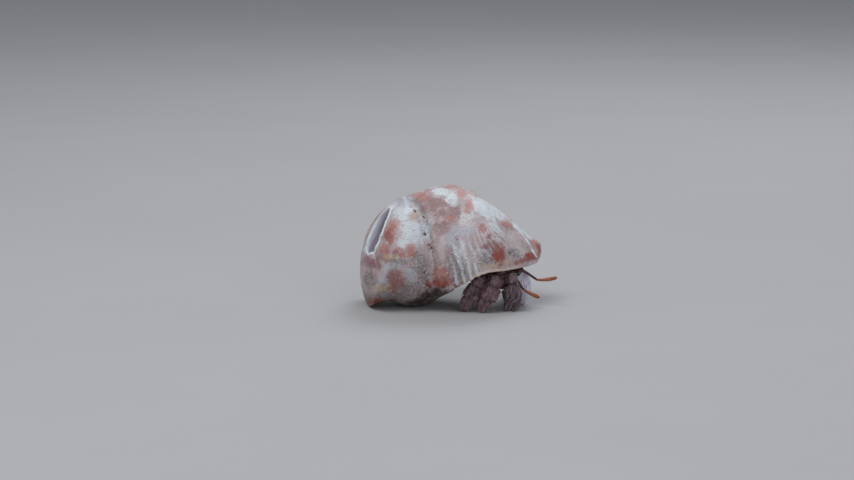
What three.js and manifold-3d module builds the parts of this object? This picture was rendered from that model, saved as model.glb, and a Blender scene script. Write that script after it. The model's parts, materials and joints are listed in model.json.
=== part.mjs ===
// A land hermit crab, half out of the worn spiral shell it carries, life size.
// Millimetres, +Z up. The floor is z = 0, and the crab heads along +X.
import * as THREE from "three";
import { mergeVertices } from "three/addons/utils/BufferGeometryUtils.js";
import Module from "manifold-3d";

const wasm = await Module();
wasm.setup();

// ---------------------------------------------------------------- shell sizes
const SHELL = {
  growth: 1.28, // how many times larger each turn is than the one before
  spire: 43.6, // from the lost tip of the spire to the suture at the lip
  profile: [
    // [along the axis from the suture, out from the axis], at the lip
    [0, 9.5], [0.7, 10.4], [1.9, 11], [4, 11.7], [6.4, 12.4], [8.6, 12.5], [11.4, 11.6],
    [14, 10], [17.5, 7.7], [20.5, 5.1], [23.4, 2.8], [25.4, 0.9],
  ],
  cavity: [
    // the same, for the hollow tube inside
    [1.4, 8.5], [2.9, 9.7], [4.6, 10.5], [6.8, 11.1], [9.2, 11.1], [12.2, 9.8], [15.2, 7.6],
    [18.2, 5.1], [19.9, 3.2], [19, 2.2], [15.6, 1.7], [11.6, 1.5], [8.4, 2.4], [6.2, 4.2],
    [3.6, 6.3], [1.6, 7.7],
  ],
  bulge: 0.32, // how much wider than the spiral the first turns are
  core: 1.1, // radius of the pillar round the axis
  turns: 2.5, // how many turns are left
  hollowTurns: 1,
  lipAngle: 100, // degrees round the axis, from the top towards the near side
  lipLead: 38, // how much further the lip reaches beside the suture, in degrees
  lead: 4.3, // over this length of the lip
  arch: 8, // how far the lip stands back over the legs, in degrees
  archAt: [4.6, 7.8, 15.5], // where that starts, is greatest and ends, along the lip
  stepsPerTurn: 25,
  hole: {
    at: [-9.1, -2.5, 4.2], runs: [-5.1, -3.5, -9.2], faces: [-0.86, -0.16, 0.48],
    half: [5.7, 1.9, 3.5],
  },
  at: [-6, -0.2, 9.9], // where the axis meets the lip's suture
  yaw: 11, // degrees that the axis turns away from +X
  pitch: 3, // degrees that its front end dips
};

const rad = THREE.MathUtils.degToRad;

// ------------------------------------------------------------- solid helpers
function solid(positions, triangles) {
  const make = (tris) =>
    new wasm.Manifold(
      new wasm.Mesh({
        numProp: 3,
        vertProperties: new Float32Array(positions),
        triVerts: new Uint32Array(tris),
      }),
    );
  const made = make(triangles);
  if (made.volume() > 0) return made;
  const turned = [];
  for (let i = 0; i < triangles.length; i += 3) {
    turned.push(triangles[i], triangles[i + 2], triangles[i + 1]);
  }
  return make(turned);
}

function solidOfGeometry(geometry, matrix) {
  const bare = geometry.clone();
  if (matrix) bare.applyMatrix4(matrix);
  bare.deleteAttribute("normal");
  bare.deleteAttribute("uv");
  const merged = mergeVertices(bare, 1e-4);
  return solid(Array.from(merged.attributes.position.array), Array.from(merged.index.array));
}

function geometryOf(made) {
  const mesh = made.getMesh();
  const positions = new Float32Array(mesh.numVert * 3);
  for (let i = 0; i < mesh.numVert; i++) {
    positions.set(mesh.vertProperties.subarray(i * mesh.numProp, i * mesh.numProp + 3), i * 3);
  }
  const geometry = new THREE.BufferGeometry();
  geometry.setAttribute("position", new THREE.BufferAttribute(positions, 3));
  geometry.setIndex(Array.from(mesh.triVerts));
  return geometry;
}

// A closed body through rings of points that all hold the same number of points.
function loft(rings, capTriangles) {
  const count = rings[0].length;
  const positions = rings.flat().flatMap((p) => [p.x, p.y, p.z]);
  const triangles = [];
  for (let i = 0; i + 1 < rings.length; i++) {
    for (let j = 0; j < count; j++) {
      const a = i * count + j;
      const b = i * count + ((j + 1) % count);
      triangles.push(a, b, b + count, a, b + count, a + count);
    }
  }
  const last = (rings.length - 1) * count;
  for (const [a, b, c] of capTriangles) {
    triangles.push(a, c, b, last + a, last + b, last + c);
  }
  return solid(positions, triangles);
}

// ------------------------------------------------------------------- shell
function smooth(points, samples) {
  const curve = new THREE.SplineCurve(points.map(([u, r]) => new THREE.Vector2(u, r)));
  return curve.getPoints(samples);
}

function lipShift(u, r, n) {
  const near = THREE.MathUtils.smoothstep(n, -0.2, 0) * THREE.MathUtils.smoothstep(r, 7.5, 9.4);
  const lead = SHELL.lipLead * Math.exp(-((Math.max(u, 0) / SHELL.lead) ** 1.5));
  const [start, most, end] = SHELL.archAt;
  const { smoothstep } = THREE.MathUtils;
  return near * (lead - SHELL.arch * smoothstep(u, start, most) * (1 - smoothstep(u, most, end)));
}

// A point of turn n (0 at the lip, -1 a turn earlier), u along and r out at the lip's scale.
function onShell(n, u, r) {
  const scale = SHELL.growth ** n;
  const along = SHELL.spire * (scale - 1) + u * scale;
  const angle = rad(SHELL.lipAngle + 360 * n + lipShift(u, r, n));
  const out = r * scale * (1 + SHELL.bulge * THREE.MathUtils.smoothstep(-n, 1.1, 1.8));
  return new THREE.Vector3(along, -out * Math.sin(angle), out * Math.cos(angle));
}

// The triangles that fill a flat outline, all turned the way that the outline runs.
function fill(outline) {
  const turn = Math.sign(THREE.ShapeUtils.area(outline));
  return THREE.ShapeUtils.triangulateShape(outline, []).map(([a, b, c]) => {
    const same = Math.sign(THREE.ShapeUtils.area([outline[a], outline[b], outline[c]])) === turn;
    return same ? [a, b, c] : [a, c, b];
  });
}

function coil(outline, from, to) {
  const caps = fill(outline);
  const steps = Math.round((to - from) * SHELL.stepsPerTurn);
  const rings = [];
  for (let i = 0; i <= steps; i++) {
    const n = from + ((to - from) * i) / steps;
    rings.push(outline.map((p) => onShell(n, p.x, p.y)));
  }
  return loft(rings, caps);
}

function largest(made) {
  return made.decompose().sort((a, b) => b.volume() - a.volume())[0];
}

function shellFrame() {
  const frame = new THREE.Matrix4().makeTranslation(...SHELL.at);
  frame.multiply(new THREE.Matrix4().makeRotationZ(rad(SHELL.yaw)));
  return frame.multiply(new THREE.Matrix4().makeRotationY(rad(SHELL.pitch)));
}

// A round form about the shell's own axis, from [out from the axis, along it] pairs.
function turned(points, along, up) {
  const outline = points.map(([out, at]) => new THREE.Vector2(out, -at));
  const form = new THREE.LatheGeometry(outline, 28).rotateZ(Math.PI / 2);
  return solidOfGeometry(form, new THREE.Matrix4().makeTranslation(along, 0, up));
}

function makeShell() {
  const edge = smooth(SHELL.profile, 13);
  const outline = [...edge, new THREE.Vector2(edge.at(-1).x, 0.1), new THREE.Vector2(0, 0.1)];
  const part = SHELL.turns / 3;
  let body = coil(outline, -SHELL.turns, -2 * part).add(coil(outline, -2 * part, -part));
  body = body.add(coil(outline, -part, 0));
  const core = new THREE.CylinderGeometry(SHELL.core, SHELL.core / 2, 33, 10).rotateZ(Math.PI / 2);
  body = body.add(solidOfGeometry(core, new THREE.Matrix4().makeTranslation(2.1, 0, 0)));
  const tube = smooth([...SHELL.cavity, SHELL.cavity[0]], 14).slice(0, -1);
  const inside = coil(tube, -SHELL.hollowTurns, -0.6).add(coil(tube, -0.6, 0.12));
  body = body.subtract(inside);
  const spire = [];
  for (let i = 0; i <= 8; i++) {
    const a = (i / 8) * rad(64);
    spire.push([13.9 * Math.sin(a), -11.5 * Math.cos(a)]);
  }
  spire.push([30, 12], [30, 40], [0, 40]);
  const filled = [[0, -13], [8.6, -13], [9.35, -9.6], [9.3, -7.6], [8.8, -5.6], [0, -5.6]];
  body = body.add(turned(filled.reverse(), 0, -0.35)).intersect(turned(spire, 0.5, -3.5));
  const front = [
    [0, -40], [30, -40], [30, 5], [14, 13], [9, 17.7], [6, 19.9], [4, 20.9], [2, 21.4], [0, 21.5],
  ];
  body = body.intersect(turned(front, 0, 0));
  const long = new THREE.Vector3(...SHELL.hole.runs).normalize();
  const deep = new THREE.Vector3(...SHELL.hole.faces).normalize();
  const wide = new THREE.Vector3().crossVectors(deep, long).normalize();
  const outward = new THREE.Vector3().crossVectors(long, wide);
  const turn = new THREE.Matrix4().makeBasis(long, wide, outward);
  const place = new THREE.Matrix4().makeTranslation(...SHELL.hole.at).multiply(turn);
  const hole = new THREE.SphereGeometry(1, 14, 10).scale(...SHELL.hole.half);
  body = body.subtract(solidOfGeometry(hole, place));
  return largest(body.transform(shellFrame().elements).trimByPlane([0, 0, 1], 0).simplify(0.05));
}

// A piece lofted along a path. Each size is [how far along, half width, half height].
// It's drawn `grow` larger all round when it's used to keep its neighbours clear of it.
function limb({ path, size, up = [0, 0, 1], sides = 8 }, grow = 0) {
  const points = path.map((p) => new THREE.Vector3(...p));
  const bent = points.length > 2;
  const curve = bent ? new THREE.CatmullRomCurve3(points) : new THREE.LineCurve3(...points);
  const rings = size.map(([t, wide, high], i) => {
    const ahead = curve.getTangentAt(t);
    const side = new THREE.Vector3(...up).cross(ahead).normalize();
    const over = new THREE.Vector3().crossVectors(ahead, side);
    const centre = curve.getPointAt(t);
    if (i === 0) centre.addScaledVector(ahead, -grow);
    if (i === size.length - 1) centre.addScaledVector(ahead, grow);
    return Array.from({ length: sides }, (_, k) => {
      const a = ((k + 0.5) / sides) * 2 * Math.PI;
      const point = centre.clone().addScaledVector(side, (wide + grow) * Math.cos(a));
      return point.addScaledVector(over, (high + grow) * Math.sin(a));
    });
  });
  return loft(rings, fill(rings[0].map((_, k) => {
    const a = ((k + 0.5) / sides) * 2 * Math.PI;
    return new THREE.Vector2(Math.cos(a), Math.sin(a));
  })));
}

// A leg segment: narrow at both ends, and widest past its middle.
function segment(from, to, wide, high, up) {
  const size = [[0, 0.68], [0.1, 0.9], [0.55, 1], [0.92, 0.9], [1, 0.7]];
  return { path: [from, to], size: size.map(([t, k]) => [t, k * wide, k * high]), up };
}

// A claw tip: it tapers along a bent path to a blunt point on the floor.
function tip(from, bend, to, wide, high, up) {
  const size = [
    [0, 0.65 * wide, 0.65 * high], [0.1, 0.92 * wide, 0.92 * high], [0.35, wide, high],
    [0.7, 0.72 * wide, 0.72 * high], [1, POINT, POINT],
  ];
  return { path: [from, bend, to], size, up };
}

// An eyestalk and the cornea at its end, then the stalk and the club of an antennule.
function eyestalk(from, to) {
  const size = [[0, 0.3, 0.3], [0.15, 0.45, 0.48], [0.6, 0.38, 0.42], [1, 0.36, 0.4]];
  return { path: [from, to], size };
}
function eye(from, to) {
  const size = [[0, 0.25, 0.25], [0.25, 0.46, 0.48], [0.7, 0.44, 0.46], [1, 0.22, 0.24]];
  return { path: [from, to], size };
}
function stalk(path) {
  const size = [[0, 0.3, 0.3], [0.3, 0.38, 0.38], [0.65, 0.3, 0.3], [1, 0.27, 0.27]];
  return { path, size, sides: 6 };
}
function club(path) {
  const size = [
    [0, 0.26, 0.26], [0.3, 0.31, 0.31], [0.6, 0.4, 0.42], [0.86, 0.36, 0.38], [1, 0.25, 0.25],
  ];
  return { path, size, sides: 6 };
}

const POINT = 0.26; // half the thickness of every claw tip and feeler
const GAP = 0.12;
const UNDER = -0.06; // tips are drawn to just under the floor and cut flat at it

// Where the middle of the shell's tube is, `n` turns from the lip.
const frame = shellFrame();
function inTube(n) {
  return onShell(n, 9.3, 7.3).applyMatrix4(frame).toArray();
}
function coiled(from, to, radii) {
  const steps = [0, 1, 2, 3, 4, 5];
  const path = steps.map((i) => inTube(from + ((to - from) * i) / 5));
  const size = radii.map((r, i) => [i / (radii.length - 1), r, r]);
  return { path, size, up: [1, 0, 0.2] };
}

const ANIMAL = {
  thorax: {
    path: [[4.7, -5.2, 5.7], [8.9, -4.9, 5.1]],
    size: [[0, 1, 0.6], [0.15, 1.7, 1.0], [0.5, 2.0, 1.25], [0.85, 1.5, 1.0], [1, 0.9, 0.6]],
  },
  carapace_shield: {
    path: [[4.4, -4.9, 8.3], [6.8, -4.6, 7.45], [9.1, -4.5, 6.05]],
    size: [
      [0, 1.4, 0.7], [0.1, 2.0, 1.1], [0.4, 2.3, 1.35], [0.75, 2.0, 1.2], [0.93, 1.4, 0.85],
      [1, 0.9, 0.5],
    ],
    sides: 10,
  },
  abdomen_front: coiled(-0.05, -0.24, [1.5, 2.3, 2.6, 2.5, 1.7]),
  abdomen_middle: coiled(-0.25, -0.43, [1.7, 2.4, 2.4, 2.2, 1.5]),
  abdomen_rear: coiled(-0.44, -0.6, [1.5, 2.0, 1.9, 1.6, 1.1]),
  tail_fan: coiled(-0.608, -0.67, [0.9, 1.3, 1.2, 0.6]),
  eyestalk_left: eyestalk([9.2, -4.0, 6.3], [10.6, -3.7, 6.45]),
  eyestalk_right: eyestalk([9.2, -5.0, 6.3], [10.4, -5.2, 6.45]),
  eye_left: eye([10.5, -3.72, 6.44], [11.35, -3.54, 6.53]),
  eye_right: eye([10.3, -5.18, 6.44], [11.12, -5.32, 6.54]),
  antennule_left: stalk([[9.7, -4.2, 6.4], [11.6, -3.6, 6.65], [14.05, -3.1, 5.05]]),
  antennule_left_flagellum: club([[14.15, -3.1, 4.95], [15.6, -3.1, 4.95], [17.75, -3.2, 5.35]]),
  antennule_right: stalk([[9.3, -5.1, 6.3], [10.4, -5.3, 5.5], [11.6, -5.3, 3.75]]),
  antennule_right_flagellum: club([[11.7, -5.3, 3.6], [12.8, -5.2, 2.95], [14.6, -5.0, 2.1]]),
  antenna_left: segment([9.0, -3.3, 6.0], [10.3, -2.4, 6.5], 0.5, 0.5),
  antenna_left_flagellum: {
    path: [[10.4, -2.3, 6.5], [11.2, 0.4, 5.8], [10.0, 2.6, 4.7], [8.0, 4.4, 4.1], [5.2, 5.8, 3.7]],
    size: [[0, 0.3, 0.3], [0.3, 0.27, 0.27], [0.55, POINT, POINT], [0.8, POINT, POINT],
      [1, POINT, POINT]],
    sides: 6,
  },
  antenna_right: segment([8.9, -5.9, 6.2], [8.6, -7.0, 6.4], 0.5, 0.5),
  antenna_right_flagellum: {
    path: [[8.5, -7.1, 6.3], [7.2, -7.6, 6.3], [4.8, -8.0, 5.9], [2.4, -7.7, 5.0]],
    size: [[0, 0.3, 0.3], [0.3, 0.27, 0.27], [0.65, POINT, POINT], [1, POINT, POINT]],
    sides: 6,
  },
  maxilliped_left: segment([9.2, -4.3, 5.0], [10.4, -4.1, 3.6], 0.6, 0.5, [0, 1, 0]),
  maxilliped_right: segment([8.9, -5.1, 4.9], [9.7, -5.2, 3.6], 0.55, 0.5, [0, 1, 0]),
  cheliped_left_merus: segment([9.0, -3.5, 4.9], [10.6, -1.5, 5.3], 1.3, 1.4),
  cheliped_left_carpus: segment([10.4, -1.5, 4.9], [10.8, -1.3, 6.5], 1.4, 1.25, [0, 1, 0]),
  cheliped_left_palm: {
    path: [[11.4, -0.9, 6.3], [11.6, -0.8, 4.6], [11.7, -0.3, 2.6], [11.6, 0.0, UNDER]],
    size: [[0, 0.7, 0.7], [0.1, 1.3, 1.1], [0.35, 2.1, 1.5], [0.6, 2.0, 1.4], [0.68, 1.1, 1.1],
      [0.85, 0.8, 0.75], [1, 0.35, 0.35]],
    up: [1, 0, 0], sides: 10,
  },
  cheliped_left_finger: tip(
    [11.7, -1.75, 3.1], [11.7, -1.7, 1.5], [11.6, -0.85, UNDER], 0.75, 0.8, [1, 0, 0],
  ),
  cheliped_right_merus: segment([8.5, -5.9, 4.9], [9.4, -6.2, 6.3], 0.8, 0.9, [0, 1, 0]),
  cheliped_right_carpus: segment([9.6, -6.4, 6.9], [9.65, -6.8, 4.9], 0.95, 1.1, [0, 1, 0]),
  cheliped_right_palm: {
    path: [[9.65, -6.8, 5.0], [9.6, -6.9, 3.2], [8.8, -6.8, 1.4], [8.5, -6.7, UNDER]],
    size: [[0, 0.75, 0.7], [0.1, 1.15, 0.95], [0.35, 1.85, 1.2], [0.55, 1.4, 1.0], [0.68, 0.7, 0.7],
      [1, 0.32, 0.32]],
    up: [0, 1, 0],
  },
  cheliped_right_finger: tip(
    [10.65, -6.9, 2.5], [10.4, -6.9, 1.2], [9.6, -6.7, UNDER], 0.7, 0.65, [0, 1, 0],
  ),
};

// Joints of each walking leg: hip, knee, carpus end, propodus end, tip; then its thickness.
const LEGS = {
  second_right: {
    at: [[6.6, -6.4, 5.2], [6.7, -7.6, 6.3], [6.3, -8.3, 4.6], [5.1, -8.5, 2.3], [4.1, -8.1, UNDER]],
    thick: 1.1, broad: 1.5,
  },
  third_right: {
    at: [[4.7, -6.4, 5.2], [4.5, -7.3, 6.1], [3.4, -7.6, 4.5], [2.1, -7.6, 2.4], [0.9, -7.2, UNDER]],
    thick: 1.1, broad: 1.5,
  },
  second_left: {
    at: [[7.6, -3.2, 4.4], [8.8, 0.2, 4.3], [9.4, 2.4, 4.0], [9.6, 4.4, 2.0], [9.4, 5.6, UNDER]],
    thick: 1.1, broad: 1.15,
  },
  third_left: {
    at: [[5.8, -3.3, 4.0], [5.5, -0.2, 3.4], [5.1, 2.2, 3.2], [4.6, 4.4, 2.3], [4.0, 6.0, UNDER]],
    thick: 1.05, broad: 1.25,
  },
};
for (const [leg, { at, thick, broad }] of Object.entries(LEGS)) {
  const [hip, knee, wrist, ankle, foot] = at;
  const middle = ankle.map((v, i) => (v + foot[i]) / 2 + (i === 2 ? 0.35 : 0));
  const high = thick * broad;
  ANIMAL[`leg_${leg}_merus`] = segment(hip, knee, 0.95 * thick, high);
  ANIMAL[`leg_${leg}_carpus`] = segment(knee, wrist, 0.9 * thick, 0.95 * high);
  ANIMAL[`leg_${leg}_propodus`] = segment(wrist, ankle, 0.85 * thick, 0.95 * high);
  ANIMAL[`leg_${leg}_dactyl`] = tip(ankle, middle, foot, 0.55 * thick, 0.68 * high);
}
ANIMAL.leg_fourth_left = segment([4.6, -3.6, 6.3], [3.5, -2.9, 7.4], 0.55, 0.55);
ANIMAL.leg_fourth_right = segment([4.3, -6.6, 6.6], [3.4, -7.7, 7.4], 0.55, 0.55);
ANIMAL.leg_fifth_left = segment([3.7, -4.3, 7.2], [2.8, -3.8, 8.8], 0.42, 0.42);
ANIMAL.leg_fifth_right = segment([3.6, -6.2, 7.2], [2.9, -7.2, 8.6], 0.42, 0.42);

const COLOURS = {
  shell: 0xd9b9a6, eye: 0x151010, antennule: 0xb5532a, antenna: 0x8a4636, abdomen: 0x9b6f6c,
  carapace: 0x7b5560, thorax: 0x7b5560, tail: 0x8b6166, cheliped: 0x9a7a92, leg: 0x80596a,
  eyestalk: 0x9a6a5c, maxilliped: 0x84606a,
};
const part = new THREE.Group();
function add(name, made) {
  const color = COLOURS[name.split("_")[0]];
  const look = new THREE.MeshStandardMaterial({ color, roughness: 0.6, metalness: 0 });
  const mesh = new THREE.Mesh(geometryOf(made), look);
  mesh.name = name;
  part.add(mesh);
}
add("shell", makeShell());

// Each piece gives way to the ones named after it, so that no two of them touch.
const names = Object.keys(ANIMAL);
const whole = names.map((name) => limb(ANIMAL[name]).trimByPlane([0, 0, 1], 0));
const room = names.map((name) => limb(ANIMAL[name], GAP));
function near(a, b) {
  const [p, q] = [a.boundingBox(), b.boundingBox()];
  return [0, 1, 2].every((i) => p.min[i] < q.max[i] && q.min[i] < p.max[i]);
}
names.forEach((name, i) => {
  let made = whole[i];
  for (let j = i + 1; j < names.length; j++) {
    if (near(made, room[j])) made = made.subtract(room[j]);
  }
  add(name, largest(made.simplify(0.03)));
});

// The origin is on the floor, under the middle of the whole model.
const box = new THREE.Box3().setFromObject(part);
part.position.set(-(box.min.x + box.max.x) / 2, -(box.min.y + box.max.y) / 2, -box.min.z);

export default part;
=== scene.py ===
import itertools
import json
import math
import bmesh
import bpy
import numpy as np
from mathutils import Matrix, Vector

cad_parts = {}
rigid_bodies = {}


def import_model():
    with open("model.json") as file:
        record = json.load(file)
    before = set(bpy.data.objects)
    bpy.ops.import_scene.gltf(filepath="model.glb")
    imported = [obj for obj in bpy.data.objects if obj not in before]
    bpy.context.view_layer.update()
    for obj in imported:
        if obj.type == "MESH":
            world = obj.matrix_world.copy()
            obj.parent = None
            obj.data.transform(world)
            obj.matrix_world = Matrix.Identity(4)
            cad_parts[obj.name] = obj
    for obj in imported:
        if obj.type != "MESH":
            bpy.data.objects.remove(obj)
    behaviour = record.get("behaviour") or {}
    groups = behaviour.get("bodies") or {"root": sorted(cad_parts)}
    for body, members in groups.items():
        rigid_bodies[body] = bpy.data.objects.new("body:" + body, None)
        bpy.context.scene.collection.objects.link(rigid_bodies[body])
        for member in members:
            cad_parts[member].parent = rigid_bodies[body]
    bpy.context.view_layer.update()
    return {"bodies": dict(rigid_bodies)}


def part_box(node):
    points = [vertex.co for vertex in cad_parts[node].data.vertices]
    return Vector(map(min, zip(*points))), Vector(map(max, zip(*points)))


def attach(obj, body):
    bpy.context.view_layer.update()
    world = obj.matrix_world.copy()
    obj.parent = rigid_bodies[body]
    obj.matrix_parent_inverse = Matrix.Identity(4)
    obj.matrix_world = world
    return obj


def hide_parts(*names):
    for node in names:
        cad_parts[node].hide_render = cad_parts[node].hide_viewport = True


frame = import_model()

bodyName = next(iter(frame["bodies"]))
mm = 0.001  # all shapes below are worked out in millimetres
middle = np.array([-0.256, 0.004, 0])  # moves every shape so that its box stands over the origin


def colour(text):  # from a hex tint to linear light
    parts = [int(text[i:i + 2], 16) / 255 for i in (0, 2, 4)]
    return tuple(p / 12.92 if p < 0.04045 else ((p + 0.055) / 1.055) ** 2.4 for p in parts) + (1,)


def ease(x, low, high):  # 0 up to low, 1 from high on, and smooth between
    t = np.clip((x - low) / (high - low), 0, 1)
    return t * t * (3 - 2 * t)


def unit(v):
    v = np.asarray(v, float)
    return v / np.linalg.norm(v, axis=-1, keepdims=True)


def cubic(points, count, closed=False):  # a smooth curve through the points
    p = np.asarray(points, float)
    spans = len(p) if closed else len(p) - 1
    if closed:
        p = np.vstack([p[-1], p, p[0], p[1]])
    else:
        p = np.vstack([2 * p[0] - p[1], p, 2 * p[-1] - p[-2]])
    at = np.linspace(0, spans, count, endpoint=not closed)
    i = np.minimum(at.astype(int), spans - 1)
    t = (at - i)[:, None]
    a, b, c, d = p[i], p[i + 1], p[i + 2], p[i + 3]
    return 0.5 * (2 * b + (c - a) * t + (2 * a - 5 * b + 4 * c - d) * t ** 2
                  + (3 * b - a - 3 * c + d) * t ** 3)


def hump(x, at, wide):
    return np.exp(-((x - at) / wide) ** 2)


def scramble(cells, seed):  # a fixed number from 0 to 1 for each cell of a grid
    h = cells[..., 0] * 73856093 ^ cells[..., 1] * 19349663 ^ cells[..., 2] * 83492791
    h = (h ^ seed * 668265263) & 0x7fffffff
    h = (h ^ (h >> 13)) * 1274126177 & 0x7fffffff
    return ((h ^ (h >> 16)) & 0xffff) / 65535


def cloud(points, size, seed):  # soft lumps, 0 to 1
    q = points / size
    cell = np.floor(q).astype(np.int64)
    f = q - cell
    f = f * f * (3 - 2 * f)
    total = np.zeros(len(q))
    for corner in itertools.product((0, 1), repeat=3):
        part = np.prod(np.where(corner, f, 1 - f), axis=1)
        total += part * scramble(cell + np.array(corner), seed)
    return total


def layered(points, size, seed):  # three sizes of cloud on top of each other
    total, weight, amount = np.zeros(len(points)), 0, 1
    for i in range(3):
        total += amount * cloud(points, size / 2 ** i, seed + i)
        weight += amount
        amount *= 0.55
    return total / weight


def grains(points, size, seed):  # distance to the nearest of many scattered points, in sizes
    q = points / size
    cell = np.floor(q).astype(np.int64)
    best = np.full(len(q), 9.0)
    for corner in itertools.product((-1, 0, 1), repeat=3):
        c = cell + np.array(corner)
        spot = np.stack([scramble(c, seed + k) for k in (11, 23, 37)], axis=1)
        best = np.minimum(best, np.linalg.norm(c + 0.15 + 0.7 * spot - q, axis=1))
    return best


def bandFaces(rows, sides, flipped=False):  # closed bands of quads between rows of points
    faces = []
    for i in range(rows - 1):
        for j in range(sides):
            a, b = i * sides + j, i * sides + (j + 1) % sides
            second, fourth = (a + sides, b) if flipped else (b, a + sides)
            faces.append((a, second, b + sides, fourth))
    return faces


def meshObject(name, points, faces, smooth=True):
    mesh = bpy.data.meshes.new(name)
    mesh.from_pydata(np.asarray(points).tolist(), [], [tuple(f) for f in faces])
    mesh.validate()
    mesh.update()
    piece = bpy.data.objects.new(name, mesh)
    bpy.context.scene.collection.objects.link(piece)
    if smooth:
        mesh.shade_smooth()
    return piece


def pointsOf(piece):
    flat = np.empty(len(piece.data.vertices) * 3)
    piece.data.vertices.foreach_get("co", flat)
    return flat.reshape(-1, 3)


def normalsOf(piece):
    flat = np.empty(len(piece.data.vertices) * 3)
    piece.data.vertex_normals.foreach_get("vector", flat)
    return flat.reshape(-1, 3)


def setPoints(piece, points):
    piece.data.vertices.foreach_set("co", np.ascontiguousarray(points).ravel())
    piece.data.update()


def setMask(piece, name, values):
    layer = piece.data.attributes.new(name, "FLOAT", "POINT")
    layer.data.foreach_set("value", np.ascontiguousarray(values, dtype=np.float32))


def throughModifiers(piece, *steps):
    for kind, settings in steps:
        modifier = piece.modifiers.new(kind, kind)
        for key, value in settings.items():
            setattr(modifier, key, value)
    graph = bpy.context.evaluated_depsgraph_get()
    made = bpy.data.meshes.new_from_object(piece.evaluated_get(graph))
    piece.modifiers.clear()
    piece.data = made


def finishPiece(piece, material, slot, *nodes):  # nodes: the solids that the piece stands in for
    piece.data.materials.clear()
    piece.data.materials.append(material)
    piece.data.shade_smooth()
    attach(piece, bodyName)
    if nodes:
        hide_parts(*nodes)


class Wire:  # a wrapped socket, so that sums on it make nodes
    def __init__(self, finish, socket):
        self.finish = finish
        self.socket = socket

    def maths(self, operation, first, second=0.0):
        return self.finish.node("ShaderNodeMath", {"operation": operation}, {0: first, 1: second})

    def __add__(self, other):
        return self.maths("ADD", self, other)

    def __radd__(self, other):
        return self.maths("ADD", other, self)

    def __sub__(self, other):
        return self.maths("SUBTRACT", self, other)

    def __rsub__(self, other):
        return self.maths("SUBTRACT", other, self)

    def __mul__(self, other):
        return self.maths("MULTIPLY", self, other)

    def __rmul__(self, other):
        return self.maths("MULTIPLY", other, self)

    def between(self, low, high):
        settings = {"interpolation_type": "SMOOTHSTEP"}
        return self.finish.node("ShaderNodeMapRange", settings, {0: self, 1: low, 2: high})


class Finish:  # one material and the nodes in it
    def __init__(self, name):
        self.material = bpy.data.materials.new(name)
        self.material.use_nodes = True
        self.tree = self.material.node_tree
        self.tree.nodes.clear()
        self.place = None

    def node(self, kind, settings=None, inputs=None, output=0):
        made = self.tree.nodes.new(kind)
        for key, value in (settings or {}).items():
            setattr(made, key, value)
        for key, value in (inputs or {}).items():
            if isinstance(value, Wire):
                self.tree.links.new(value.socket, made.inputs[key])
            else:
                made.inputs[key].default_value = value
        return Wire(self, made.outputs[output] if made.outputs else None)

    def spot(self):  # the place on the piece, in metres
        if self.place is None:
            self.place = self.node("ShaderNodeTexCoord", output="Object")
        return self.place

    def mask(self, name):
        return self.node("ShaderNodeAttribute", {"attribute_name": name}, output="Fac")

    def noise(self, size, detail, rough=0.55):  # its size in millimetres
        inputs = {"Vector": self.spot(), "Scale": 1 / (size * mm), "Detail": detail, "Roughness": rough}
        return self.node("ShaderNodeTexNoise", {}, inputs, "Fac")

    def blend(self, factor, first, second):
        settings = {"data_type": "RGBA", "blend_type": "MIX", "clamp_factor": True}
        return self.node("ShaderNodeMix", settings, {0: factor, 6: first, 7: second}, 2)

    def bump(self, height, depth, strength):
        inputs = {"Height": height, "Distance": depth * mm, "Strength": strength}
        return self.node("ShaderNodeBump", {}, inputs, "Normal")

    def surface(self, inputs):
        shader = self.node("ShaderNodeBsdfPrincipled", {}, inputs)
        self.node("ShaderNodeOutputMaterial", {}, {"Surface": shader})
        return self.material


shellShape = {
    # the coil grows by "growth" each turn, and its top moves along the axis by a share of "spire". The
    # old turns bulge by "bulge". Outlines are pairs of along the axis and out from it
    "growth": 1.28, "spire": 43.6, "turns": 2.5, "bulge": 0.32, "bulges": (1.1, 1.8),
    "profile": [(0, 9.5), (0.7, 10.4), (1.9, 11), (4, 11.7), (6.4, 12.4), (8.6, 12.5), (11.4, 11.6),
                (14, 10), (17.5, 7.7), (20.5, 5.1), (23.4, 2.8), (25.4, 0.9)],
    "cavity": [(1.4, 8.5), (2.9, 9.7), (4.6, 10.5), (6.8, 11.1), (9.2, 11.1), (12.2, 9.8),
               (15.2, 7.6), (18.2, 5.1), (19.9, 3.2), (19, 2.2), (15.6, 1.7), (11.6, 1.5),
               (8.4, 2.4), (6.2, 4.2), (3.6, 6.3), (1.6, 7.7)],
    "tubeAt": (9.3, 7.3), "hollowTurns": (-1.0, -0.6, 0.12), "ringsEachTurn": 64,
    # the lip's angle in degrees, how far it leads by the seam, and its shallow arch
    "lipAngle": 100, "lipLead": 38, "lead": 4.3, "arch": 3, "archAt": (5, 8, 18),
    # forms turned about the axis, as pairs of out from it and along it: the core, what fills the worn
    # spire, and the front end. The worn end is rounder: half width, depth, half angle and place
    "core": [(1.1, -14.4), (0.825, 5), (0.55, 18.6)],
    "filled": [(8.6, -13), (9.35, -9.6), (9.3, -7.6), (8.8, -5.6)], "filledUp": -0.35,
    "front": [(30, 5), (14, 13), (9, 17.6), (6, 19.4), (4, 20.3), (2, 21.1), (0.1, 21.5)],
    "worn": (13.9, 11.5, 64), "wornAt": (0.5, -3.5),
    # the worn hole: its middle, which way it runs and faces, its half sizes and its taper
    "holeAt": (-9.2, -2.6, 4.0), "holeRuns": (-5.1, -3.5, -9.2), "holeFaces": (-0.86, -0.16, 0.48),
    "holeHalf": (4.45, 2.05, 3.5), "holeTaper": 0.3,
    "at": (-6, -0.2, 9.9), "yaw": 11, "pitch": 3, "voxel": 0.16,
}


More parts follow.
